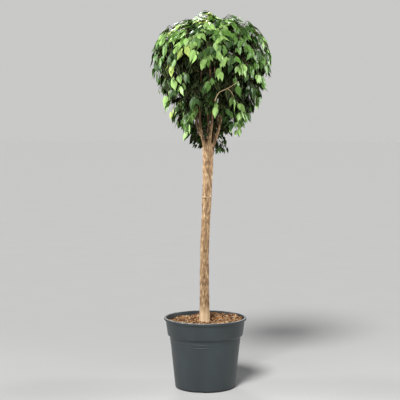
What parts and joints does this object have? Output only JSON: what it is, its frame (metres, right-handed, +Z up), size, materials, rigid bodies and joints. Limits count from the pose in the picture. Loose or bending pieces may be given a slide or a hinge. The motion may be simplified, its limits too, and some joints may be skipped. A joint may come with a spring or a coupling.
{
  "type": "potted standard weeping fig tree",
  "caption": "Lollipop standard tree: a straight bare trunk, a fork of boughs and a dense round head of hanging leaves, standing in a round nursery pot.",
  "frame": {"origin": "centre of the pot's flat underside", "axes": "+Z up along the trunk, +X to the right and +Y away from the viewer as in the picture"},
  "size_m": [0.499, 0.4886, 1.5417],
  "materials": {
    "pot": "dark slate-grey moulded plastic with a soft sheen",
    "potting_mix": "loose brown bark and fibre chips",
    "bark": "tan bark, finely streaked and speckled",
    "foliage": "glossy mid-green leaves"
  },
  "bodies": {
    "root": {"pot": "pot", "potting_mix": "potting_mix", "trunk": "bark", "bough_top": "bark", "bough_front": "bark", "bough_front_right": "bark", "bough_back_right": "bark", "bough_back": "bark", "bough_back_left": "bark", "bough_front_left": "bark", "foliage_top": "foliage", "foliage_front": "foliage", "foliage_front_right": "foliage", "foliage_back_right": "foliage", "foliage_back": "foliage", "foliage_back_left": "foliage", "foliage_front_left": "foliage", "foliage_fork": "foliage"}
  },
  "joints": []
}
